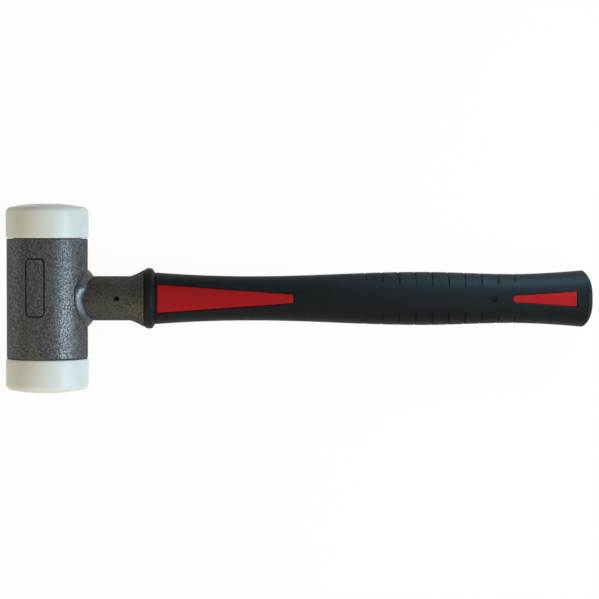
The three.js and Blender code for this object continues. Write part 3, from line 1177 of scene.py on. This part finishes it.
@dataclass(frozen=True)
class GripOutline:
    """The grip's outside, whose sections are squared ovals.

    Attributes:
        places: Where its front, waist, belly, narrow and butt are along the handle.
        heights: Half its height at each.
        thicknesses: Half its thickness at each.
        power: How square the ovals are.
        front_power: How early it narrows behind its front.
        butt_power: How late it widens before its butt.
        dome: How far the butt stands out past its widest place.
        dome_power: How full the dome is at its middle.
        dome_root: How full the dome is at its sides.
        dome_profile: Shares of the way out over the dome, and of the thickness that is left there.
        sleeve_rings: Rings of a sleeve inside it.
    """

    places: tuple[float, ...] = (65.8, 123.7, 228.0, 284.0, 326.3)
    heights: tuple[float, ...] = (15.75, 13.5, 16.25, 15.0, 17.3)
    thicknesses: tuple[float, ...] = (13.0, 11.4, 13.3, 12.5, 13.65)
    power: float = 2.3
    front_power: float = 2
    butt_power: float = 1.65
    dome: float = 5.5
    dome_power: float = 1.2
    dome_root: float = 0.35
    dome_profile: tuple[Pair, ...] = (
        (0.1, 1.0), (0.2, 1.002), (0.3, 1.007), (0.4, 1.014), (0.45, 1.017), (0.475, 1.016), (0.5, 1.01),
        (0.6, 0.979), (0.72, 0.946), (0.82, 0.913), (0.88, 0.875), (0.92, 0.812), (0.945, 0.71),
        (0.96, 0.565), (0.975, 0.38), (0.99, 0.2), (1.0, 0.0),
    )
    sleeve_rings: int = 14

    def half_sizes(self, x: np.ndarray | float) -> tuple[np.ndarray, np.ndarray]:
        """Gives half the height and half the thickness at places along the handle.

        Args:
            x: Places along the handle, up to the butt.

        Returns:
            Half heights and half thicknesses.
        """
        places = np.array(self.places)
        at = np.clip(np.searchsorted(places, x, side="right") - 1, 0, len(places) - 2)
        t = np.clip((x - places[at]) / (places[at + 1] - places[at]), 0, 1)
        eased = np.choose(at, [1 - (1 - t) ** self.front_power, ease(t), ease(t), t**self.butt_power])
        rows = (np.array(self.heights), np.array(self.thicknesses))
        height, thickness = (row[at] + (row[at + 1] - row[at]) * eased for row in rows)
        return height, thickness

    def rise(self, x: np.ndarray | float, y: np.ndarray | float) -> np.ndarray:
        """Gives how high the surface stands over the handle's axis at x and y."""
        height, thickness = self.half_sizes(x)
        return thickness * np.clip(1 - np.abs(y / height) ** self.power, 0, 1) ** (1 / self.power)

    def sleeve(self, inset: float, start: float, stop: float, angle: np.ndarray) -> list[np.ndarray]:
        """Gives rings that follow the outline inside it.

        Args:
            inset: How far inside it they lie.
            start: Where along the handle the first ring is.
            stop: Where the last ring is.
            angle: Angles of their points, from +y towards +z.

        Returns:
            The rings in order.
        """
        rings = []
        for x in np.linspace(start, stop, self.sleeve_rings):
            y, z = (float(size) - inset for size in self.half_sizes(x))
            rings.append(oval(x, y, z, self.power, angle))
        return rings

    def dome_rings(self, last: np.ndarray) -> list[np.ndarray]:
        """Closes the butt: raised to a ridge, then rounded down to its end.

        Args:
            last: The ring where the butt is widest.

        Returns:
            Rings out to the end, the last one flat.
        """
        share = np.clip(np.abs(last[:, 1]) / self.heights[-1], 0, 1)
        end = self.places[-1] + self.dome * (1 - share ** (1 / self.dome_root)) ** (1 / self.dome_power)
        reach = np.outer(end - last[:, 0], [1, 0, 0])
        return [last * np.array([1, 1, left]) + reach * out for out, left in self.dome_profile]


@dataclass(frozen=True)
class WedgeWindow:
    """A wedge-shaped window in the grip, seen from the front.

    Attributes:
        wide_x: Where its wide end is.
        tip_x: Where its narrow end is.
        wide: Half its width at the wide end.
        tip: Half its width at the narrow end.
        corner: Radius of the corners at the wide end.
        tip_corner: Radius of the corners at the narrow end.
        least_corner: Least radius of a corner that is moved in.
        corner_turn: First angle of a corner that gets a place of its own, in radians.
        corner_steps: Places over a corner.
    """

    wide_x: float
    tip_x: float
    wide: float
    tip: float
    corner: float
    tip_corner: float
    least_corner: float = 0.15
    corner_turn: float = 0.3
    corner_steps: int = 6

    def span(self, inset: float) -> Pair:
        """Gives its lowest and highest x, moved in by an inset."""
        low, high = sorted((self.wide_x, self.tip_x))
        return low + inset, high - inset

    def half_width(self, x: np.ndarray, inset: float) -> np.ndarray:
        """Gives half its width, with rounded corners, moved in by an inset.

        Args:
            x: Places along the handle.
            inset: How far the outline is moved in.

        Returns:
            Half widths, held at their end values outside the window.
        """
        low, high = self.span(inset)
        at = np.clip(x, low, high)
        by_tip = np.abs(at - self.tip_x) < np.abs(at - self.wide_x)
        corner = np.maximum(np.where(by_tip, self.tip_corner, self.corner) - inset, self.least_corner)
        taper = (self.tip - self.wide) * (at - self.wide_x) / (self.tip_x - self.wide_x)
        into = np.clip(corner - np.minimum(at - low, high - at), 0, corner)
        return self.wide + taper - inset - corner + np.sqrt(corner**2 - into**2)

    def stations(self, inset: float, offsets: tuple[float, ...]) -> list[float]:
        """Gives places along x that its ends and corners need.

        Args:
            inset: How far the outline is moved in.
            offsets: Places beside each end, outward.

        Returns:
            The places, in no order.
        """
        ends = ((self.wide_x, self.tip_x, self.corner), (self.tip_x, self.wide_x, self.tip_corner))
        places = []
        for end, other, corner in ends:
            inward, radius = math.copysign(1, other - end), max(corner - inset, self.least_corner)
            turns = np.linspace(self.corner_turn, math.pi / 2, self.corner_steps)
            steps = [radius * (1 - math.cos(turn)) for turn in turns]
            places += [end + inward * (inset + step) for step in [-out for out in offsets] + steps]
        return places


@dataclass
class HandlePart(SubAssembly):
    """What the collar, the grip and the jacket share: the grip's outline, its windows and its rubber."""

    outline: GripOutline = GripOutline()
    front: WedgeWindow = WedgeWindow(66.8, 149.5, wide=8.85, tip=2.9, corner=1.1, tip_corner=1.4)
    rear: WedgeWindow = WedgeWindow(321.6, 282.4, wide=4.85, tip=2.2, corner=0.9, tip_corner=1.8)
    grip_wall: float = 1.8
    pocket: float = 1.3
    crease: float = 42.0


@dataclass
class Collar(HandlePart):
    """The rubber bead between the neck's mouth and the grip."""

    # Half heights along it, its size at the neck's mouth, and its walls at its two ends
    section: tuple[Pair, ...] = (
        (59.3, 17.55), (59.6, 17.8), (60.0, 18.02), (60.5, 18.24), (61.0, 18.38), (61.5, 18.45),
        (62.1, 18.43), (62.75, 18.37), (63.4, 18.27), (63.7, 18.1), (64.0, 17.8), (64.3, 17.4),
        (64.6, 16.95), (64.9, 16.45), (65.2, 16.0), (65.5, 15.82),
    )
    mouth: Pair = (17.6, 15.25)
    walls: Pair = (3.0, 1.8)
    sides: int = 128
    crease: float = 50.0
    # Its fine parting line
    line_x: float = 61.7
    line_rise: float = 0.12
    line_width: float = 0.1
    line_reach: float = 0.25
    line_steps: int = 7

    def bead(self) -> Surface:
        """Lofts the collar: a flat-topped bead with a fine parting line, hollow for the jacket.

        Returns:
            The collar, closed.
        """
        places, heights = np.array(self.section).T
        near_line = self.line_x + np.linspace(-self.line_reach, self.line_reach, self.line_steps)
        x = np.unique(np.concatenate([places, near_line]))
        share = (x - x[0]) / (x[-1] - x[0])
        line = self.line_rise * np.exp(-(((x - self.line_x) / self.line_width) ** 2))
        y = np.interp(x, places, heights) + line
        slim = [self.mouth[1] / self.mouth[0],
                self.outline.thicknesses[0] / self.outline.heights[0]]
        z = y * (slim[0] + (slim[1] - slim[0]) * share)
        power = ELLIPSE + (self.outline.power - ELLIPSE) * share
        angle = around(self.sides)
        rings = [oval(*sizes, angle) for sizes in zip(x, y, z, power)]
        for end, wall in ((-1, self.walls[1]), (0, self.walls[0])):
            rings.append(oval(x[end], y[end] - wall, z[end] - wall, power[end], angle))
        return Surface().rings(rings, along=True)

    def build(self) -> list[bpy.types.Object]:
        """Makes the collar and returns it."""
        self.show("collar_bead", self.bead(), RUBBER, ("collar_ring",), crease=self.crease)
        return self.pieces


@dataclass
class Grip(HandlePart):
    """The soft black overmould, with windows, grooves and the mark of its mould's gate."""

    # Rings along it, columns over a quarter of it, and columns beside a window's edge
    front_edge: float = 0.25
    ring_count: int = 105
    ring_least: float = 0.012
    inner_columns: int = 7
    outer_columns: int = 21
    lip_offsets: tuple[float, ...] = (-0.3, -0.05, 0.0, 0.04, 0.1, 0.18, 0.3, 0.6)
    # The rounded lip of a window and the draft of its pocket
    lip: float = 0.3
    pocket_draft: float = 0.05
    # The grooves over its edges
    groove_last: float = 283.9
    groove_pitch: float = 10.06
    groove_count: int = 10
    groove_lengths: Pair = (4.4, 8.8)
    groove_depth: float = 0.8
    groove_floor: float = 0.28
    groove_flank: float = 0.36
    groove_tail: float = 1.6
    groove_edge: float = 0.35
    groove_shoulder: float = 1.2
    groove_offsets: tuple[float, ...] = (0.0, 0.18, 0.3, 0.38, 0.46, 0.54, 0.66, 0.9)
    # The ring that the mould's gate left
    gate_x: float = 271.1
    gate_ring: Pair = (0.95, 1.95)
    gate_depth: float = 1.2
    gate_over: float = 1.0
    gate_sides: int = 40

    def groove_places(self) -> list[Pair]:
        """Gives each groove's place along the handle and its length in from the edge.

        Returns:
            Pairs of place and length, from the last groove to the first.
        """
        short, long = self.groove_lengths
        places = []
        for k in range(self.groove_count):
            middle = math.sin(math.pi * (k + 0.5) / self.groove_count)
            places.append((self.groove_last - k * self.groove_pitch, short + (long - short) * middle))
        return places

    def stations(self) -> np.ndarray:
        """Places the grip's rings, close together at the windows' ends and the grooves.

        Returns:
            Their places along x, in order.
        """
        start, stop = self.outline.places[0], self.outline.places[-1]
        places = list(np.linspace(start, stop, self.ring_count))
        for window in (self.front, self.rear):
            places += window.stations(0.0, self.lip_offsets)
        for x, _ in self.groove_places():
            places += [x + side * e for e in self.groove_offsets for side in (1, -1)]
        ordered = np.array(sorted(x for x in places if start <= x <= stop))
        apart = np.concatenate([[True], np.diff(ordered) > self.ring_least])
        return ordered[apart]

    def window_line(self, x: np.ndarray) -> np.ndarray:
        """Gives the line that the windows' edges follow along the whole grip.

        Args:
            x: The rings' places.

        Returns:
            Its distance from the grip's middle line at each.
        """
        low, high = self.front.span(0)[1], self.rear.span(0)[0]
        t = ease((x - low) / (high - low))
        return self.front.half_width(x, 0) * (1 - t) + self.rear.half_width(x, 0) * t

    def columns(self, x: np.ndarray) -> np.ndarray:
        """Places the columns of a quarter of the grip, from its middle line to its edge.

        Args:
            x: The rings' places.

        Returns:
            Places across the handle, by ring and by column.
        """
        height, _ = self.outline.half_sizes(x)
        line = self.window_line(x)
        inner = np.outer(line + self.lip_offsets[0], np.linspace(0, 1, self.inner_columns)[:-1])
        lips = line[:, None] + np.array(self.lip_offsets)
        power = self.outline.power
        first = np.arcsin((lips[:, -1] / height) ** (power / 2))
        shares = np.linspace(0, 1, self.outer_columns)[1:]
        angles = first[:, None] + (np.pi / 2 - first)[:, None] * shares
        outer = height[:, None] * np.clip(np.sin(angles), 0, 1) ** (2 / power)
        return np.concatenate([inner, lips, outer], axis=1)

    def lip_depth(self, outside: np.ndarray) -> np.ndarray:
        """Gives how deep the grip is near a window's edge, with a rounded lip and a pocket."""
        wall = self.lip + (self.pocket - self.lip) * np.clip(-outside / self.pocket_draft, 0, 1)
        return np.where(outside >= 0, rounded(outside, self.lip), wall)

    def pocket_depth(self, x: np.ndarray, y: np.ndarray) -> np.ndarray:
        """Gives the depth of the windows' pockets.

        Args:
            x: The rings' places.
            y: Places across the handle, by ring and by column.

        Returns:
            Depths by ring and by column.
        """
        depth = np.zeros_like(y)
        for window in (self.front, self.rear):
            low, high = window.span(0)
            beyond = np.broadcast_to(np.maximum(low - x, x - high)[:, None], y.shape)
            beside = y - window.half_width(x, 0)[:, None]
            corner = np.hypot(np.maximum(beyond, 0), np.maximum(beside, 0))
            outside = np.where((beyond > 0) & (beside > 0), corner, np.maximum(beyond, beside))
            depth = np.maximum(depth, self.lip_depth(outside))
        return depth

    def groove_cut(self, x: np.ndarray, y: np.ndarray) -> np.ndarray:
        """Gives the depth of the grooves over the grip's edges.

        Args:
            x: The rings' places.
            y: Places across the handle, by ring and by column.

        Returns:
            Depths by ring and by column.
        """
        height, _ = self.outline.half_sizes(x)
        from_edge = height[:, None] - y
        depth = np.zeros_like(y)
        for place, length in self.groove_places():
            across = 1 - ease((np.abs(x - place) - self.groove_floor) / self.groove_flank)
            along = 1 - ease((from_edge - length + self.groove_tail) / self.groove_tail)
            edge = self.groove_edge + (1 - self.groove_edge) * ease(from_edge / self.groove_shoulder)
            depth = np.maximum(depth, self.groove_depth * across[:, None] * along * edge)
        return depth

    def quarter(self) -> np.ndarray:
        """Shapes the quarter of the grip's outside where y and z are positive.

        Returns:
            Its points by ring and by column.
        """
        x = self.stations()
        height, thickness = (size[:, None] for size in self.outline.half_sizes(x))
        y = self.columns(x)
        z = self.outline.rise(np.broadcast_to(x[:, None], y.shape), y)
        z[:, -1] = 0
        power = self.outline.power
        normal_y = (y / height) ** (power - 1) / height
        normal_z = (z / thickness) ** (power - 1) / thickness
        length = np.hypot(normal_y, normal_z)
        front_edge = self.front_edge * (1 - np.clip((x - x[0]) / self.front_edge, 0, 1))[:, None]
        cut = self.groove_cut(x, y) + front_edge
        down = self.pocket_depth(x, y)
        return spots(x[:, None], y - cut * normal_y / length, z - cut * normal_z / length - down)

    @staticmethod
    def whole_rings(quarter: np.ndarray) -> np.ndarray:
        """Mirrors a quarter into whole rings.

        Args:
            quarter: Points by ring and by column, from the middle line to the edge.

        Returns:
            Points by ring and by column, from the middle line on +z round through +y.
        """
        out, back = quarter[:, :-1], quarter[:, :0:-1]
        parts = ((1, 1, out), (1, -1, back), (-1, -1, out), (-1, 1, back))
        return np.concatenate([part * np.array([1, y, z]) for y, z, part in parts], axis=1)

    def shell(self) -> Surface:
        """Weaves the grip: its cavity, its front, and its outside with windows, grooves and the domed butt.

        Returns:
            The grip, closed.
        """
        outside = self.whole_rings(self.quarter())
        start, stop = self.outline.places[0], self.outline.places[-1]
        angle = np.arctan2(outside[0][:, 2], outside[0][:, 1])
        cavity = self.outline.sleeve(self.grip_wall, stop, start, angle)
        dome = self.outline.dome_rings(outside[-1])
        return Surface().rings(cavity + list(outside) + dome).cap(cavity[0])

    def gate_cutter(self) -> Surface:
        """Turns the cutter of the small ring that the mould's gate left on the grip.

        Returns:
            What is cut from the grip.
        """
        inner, outer = self.gate_ring
        low, high = -self.gate_depth, self.gate_over
        rise = float(self.outline.rise(self.gate_x, 0.0))
        profile = [(inner, low), (inner, high), (outer, high), (outer, low)]
        return Surface().rings(drilled(profile, self.gate_sides, self.gate_x, rise), along=True)

    def build(self) -> list[bpy.types.Object]:
        """Makes the grip and cuts its gate mark.

        Returns:
            The grip.
        """
        grip = self.show("soft_grip", self.shell(), RUBBER, ("grip_overmould",))
        self.carve(grip, self.gate_cutter(), self.crease)
        return self.pieces


@dataclass
class Jacket(HandlePart):
    """The red jacket under the grip, which fills the windows, and the core inside it."""

    gap: float = 0.3
    sides: int = 48
    # The pads in the windows: how deep they lie, and the rings over their rounded edges
    pad_recess: float = 0.2
    pad_edge: float = 0.4
    pad_steps: tuple[float, ...] = (0, 0.08, 0.2, 0.4, 0.65, 1.0)
    pad_rings: int = 28
    pad_columns: int = 13

    def pad(self, window: WedgeWindow, side: int) -> tuple[np.ndarray, np.ndarray]:
        """Shapes a red pad that fills a window, with rounded edges.

        Args:
            window: The window.
            side: 1 for the pad on +z, -1 for the one on -z.

        Returns:
            The pad's top and its underside, by ring and by column.
        """
        low, high = window.span(self.gap)
        offsets = self.pad_edge * np.array(self.pad_steps)
        places = window.stations(self.gap, (0.0,)) + list(low + offsets) + list(high - offsets)
        even = np.linspace(low, high, self.pad_rings)
        x = np.unique(np.round(np.concatenate([places, even]), 2))
        x[0], x[-1] = low, high
        half = window.half_width(x, self.gap)
        flank = half[:, None] - offsets
        inner = np.outer(half - self.pad_edge, np.linspace(1, -1, self.pad_columns)[1:-1])
        y = np.concatenate([flank, inner, -flank[:, ::-1]], axis=1)
        inside = np.minimum(half[:, None] - np.abs(y), np.minimum(x - low, high - x)[:, None])
        along = np.broadcast_to(x[:, None], y.shape)
        rise = self.outline.rise(along, y)
        top = rise - self.pad_recess - rounded(inside, self.pad_edge)
        return spots(along, y, side * top), spots(along, y, side * (rise - self.pocket))

    def jacket(self) -> Surface:
        """Makes the red jacket: its sleeve under the grip and the pads in the windows.

        Returns:
            The sleeve and the pads, each closed.
        """
        start, stop = self.outline.places[0], self.outline.places[-1] - self.gap
        angle = around(self.sides)
        surface = Surface().barrel(self.outline.sleeve(self.grip_wall + self.gap, start, stop, angle))
        for window in (self.front, self.rear):
            for side in (1, -1):
                surface.slab(*self.pad(window, side))
        return surface

    def build(self) -> list[bpy.types.Object]:
        """Makes the jacket and dresses the core.

        Returns:
            The pieces.
        """
        self.show("red_jacket", self.jacket(), RED, ("handle_jacket",), crease=self.crease)
        self.dress("handle_core", AMBER_ROD)
        return self.pieces


@dataclass(frozen=True)
class Lamp:
    """A soft square lamp aimed at the hammer.

    Attributes:
        name: The lamp's name.
        azimuth: Degrees from +x towards +y.
        elevation: Degrees above the floor.
        distance: Metres from the aim.
        size: Side of the lamp in metres.
        power: Watts.
        colour: Colour of its light.
        aim: The point that it faces, in metres.
        spread: Degrees that its beam spreads over.
    """

    name: str
    azimuth: float
    elevation: float
    distance: float
    size: float
    power: float
    colour: tuple[float, float, float]
    aim: tuple[float, float, float] = (0.0, 0.0, 0.02)
    spread: float = 180.0

    def hang(self) -> None:
        """Hangs the lamp over the scene."""
        data = bpy.data.lights.new(self.name, "AREA")
        data.size, data.energy, data.color = self.size, self.power, self.colour
        data.spread = math.radians(self.spread)
        lamp = bpy.data.objects.new(self.name, data)
        a, e = math.radians(self.azimuth), math.radians(self.elevation)
        away = Vector((math.cos(a) * math.cos(e), math.sin(a) * math.cos(e), math.sin(e)))
        lamp.location = Vector(self.aim) + away * self.distance
        lamp.rotation_euler = away.to_track_quat("Z", "Y").to_euler()
        bpy.context.scene.collection.objects.link(lamp)


@dataclass
class Studio:
    """The floor, the light and the camera, in metres and degrees.

    Attributes:
        aim: The point under the camera.
        camera_distance: From the aim to the camera.
        camera_tilt: How far the camera leans towards +y.
        camera_roll: How far it is turned about its own axis.
        lens: Its focal length in millimetres.
        sensor: Its sensor's width in millimetres.
        floor_half: Half the floor's side.
        floor_drop: How far it lies under the hammer.
        wall_height: Height of the low walls round it.
        floor_white: Share of plain white in what the camera and reflections see of it.
        paper: Its colour under the lamps.
        sky_range: Heights, as shares, between which the sky goes from horizon to zenith.
        horizon: Colour of the sky at the horizon.
        zenith: Colour of the sky overhead.
        lamps: The lamps.
    """

    aim: Vector = field(default_factory=lambda: Vector((-0.00061, -0.00069, 0.02)))
    camera_distance: float = 1.19
    camera_tilt: float = 1.8
    camera_roll: float = 0.09
    lens: float = 117.15
    sensor: float = 36.0
    floor_half: float = 4.0
    floor_drop: float = 2e-4
    wall_height: float = 0.9
    floor_white: float = 0.96
    paper: Colour = (0.8, 0.8, 0.8, 1.0)
    sky_range: Pair = (0.05, 0.9)
    horizon: Colour = (0.13, 0.13, 0.13, 1.0)
    zenith: Colour = (0.44, 0.43, 0.42, 1.0)
    lamps: tuple[Lamp, ...] = (
        Lamp("key_lamp", -10, 33, 1.4, 0.55, 16.0, (0.62, 0.84, 1.0)),
        Lamp("fill_lamp", 234, 31, 1.5, 0.9, 6.3, (1.0, 0.9, 0.48)),
        Lamp("side_lamp", 66, 24, 0.6, 0.25, 0.4, (0.36, 0.78, 1.0), (0.175, 0.0, 0.02), 28),
    )

    def floor_material(self) -> bpy.types.Material:
        """Makes the floor's material, which shows white and keeps a faint shadow.

        Returns:
            The material.
        """
        sheet = NodeSheet("floor_white")
        path = sheet.add("LightPath", {}).outputs
        seen = path["Is Camera Ray"]
        for kind in ("Is Glossy Ray", "Is Transmission Ray"):
            seen = sheet.add("Math", {0: seen, 1: path[kind]}, operation="MAXIMUM").outputs[0]
        share = sheet.add("Math", {0: seen, 1: self.floor_white}, operation="MULTIPLY").outputs[0]
        paper = sheet.add("BsdfDiffuse", {"Color": self.paper}).outputs[0]
        white = sheet.add("Emission", {"Color": (1, 1, 1, 1), "Strength": 1.0}).outputs[0]
        both = sheet.add("MixShader", {0: share, 1: paper, 2: white}).outputs[0]
        output = next(n for n in sheet.tree.nodes if n.type == "OUTPUT_MATERIAL")
        sheet.fill(output, {"Surface": both})
        sheet.tree.nodes.remove(sheet.shader)
        return sheet.material

    def floor(self) -> None:
        """Lays a pale floor with low walls far out."""
        h = self.floor_half
        mesh = bpy.data.meshes.new("floor")
        corners = [(-h, -h), (h, -h), (h, h), (-h, h)]
        points = [(x, y, z) for z in (-self.floor_drop, self.wall_height) for x, y in corners]
        walls = [(k, (k + 1) % 4, (k + 1) % 4 + 4, k + 4) for k in range(4)]
        mesh.from_pydata(points, [], [(0, 1, 2, 3), *walls])
        mesh.materials.append(self.floor_material())
        floor = bpy.data.objects.new("floor", mesh)
        bpy.context.scene.collection.objects.link(floor)

    def sky(self) -> None:
        """Sets the world: a soft grey overhead that darkens to the horizon."""
        world = bpy.data.worlds.new("studio")
        bpy.context.scene.world = world
        world.use_nodes = True
        nodes, links = world.node_tree.nodes, world.node_tree.links
        background = next(n for n in nodes if n.type == "BACKGROUND")
        height = nodes.new("ShaderNodeSeparateXYZ")
        links.new(nodes.new("ShaderNodeTexCoord").outputs["Generated"], height.inputs[0])
        blend = nodes.new("ShaderNodeValToRGB")
        for k, colour in enumerate((self.horizon, self.zenith)):
            stop = blend.color_ramp.elements[k]
            stop.position, stop.color = self.sky_range[k], colour
        links.new(height.outputs["Z"], blend.inputs[0])
        links.new(blend.outputs["Color"], background.inputs["Color"])

    def camera(self) -> None:
        """Hangs the camera over the hammer, as the photograph was taken."""
        data = bpy.data.cameras.new("camera")
        data.lens, data.sensor_width = self.lens, self.sensor
        camera = bpy.data.objects.new("camera", data)
        tilt = math.radians(self.camera_tilt)
        camera.location = self.aim + Vector((0, math.sin(tilt), math.cos(tilt))) * self.camera_distance
        camera.rotation_euler = (-tilt, 0, math.radians(self.camera_roll))
        bpy.context.scene.collection.objects.link(camera)
        bpy.context.scene.camera = camera

    def build(self) -> None:
        """Sets up the floor, the sky, the lamps, the camera and plain colours."""
        self.floor()
        self.sky()
        for lamp in self.lamps:
            lamp.hang()
        self.camera()
        bpy.context.scene.view_settings.view_transform = "Standard"


def main() -> None:
    """Builds the hammer's sub-assemblies in order, then the studio, and reports each piece."""
    logging.basicConfig(level=logging.INFO, format="%(name)s: %(message)s")
    rest = RestingFrame.from_cad(face_radius=25.0, butt_x=326.8, butt_low=14.0)
    makers: tuple[type[SubAssembly], ...] = (Head, NylonFaces, Shot, Neck, Collar, Grip, Jacket)
    for maker in makers:
        for piece in maker(rest).build():
            log.info("%s: %s with %d faces", maker.__name__, piece.name, len(piece.data.polygons))
    Studio().build()


if __name__ == "__main__":
    main()
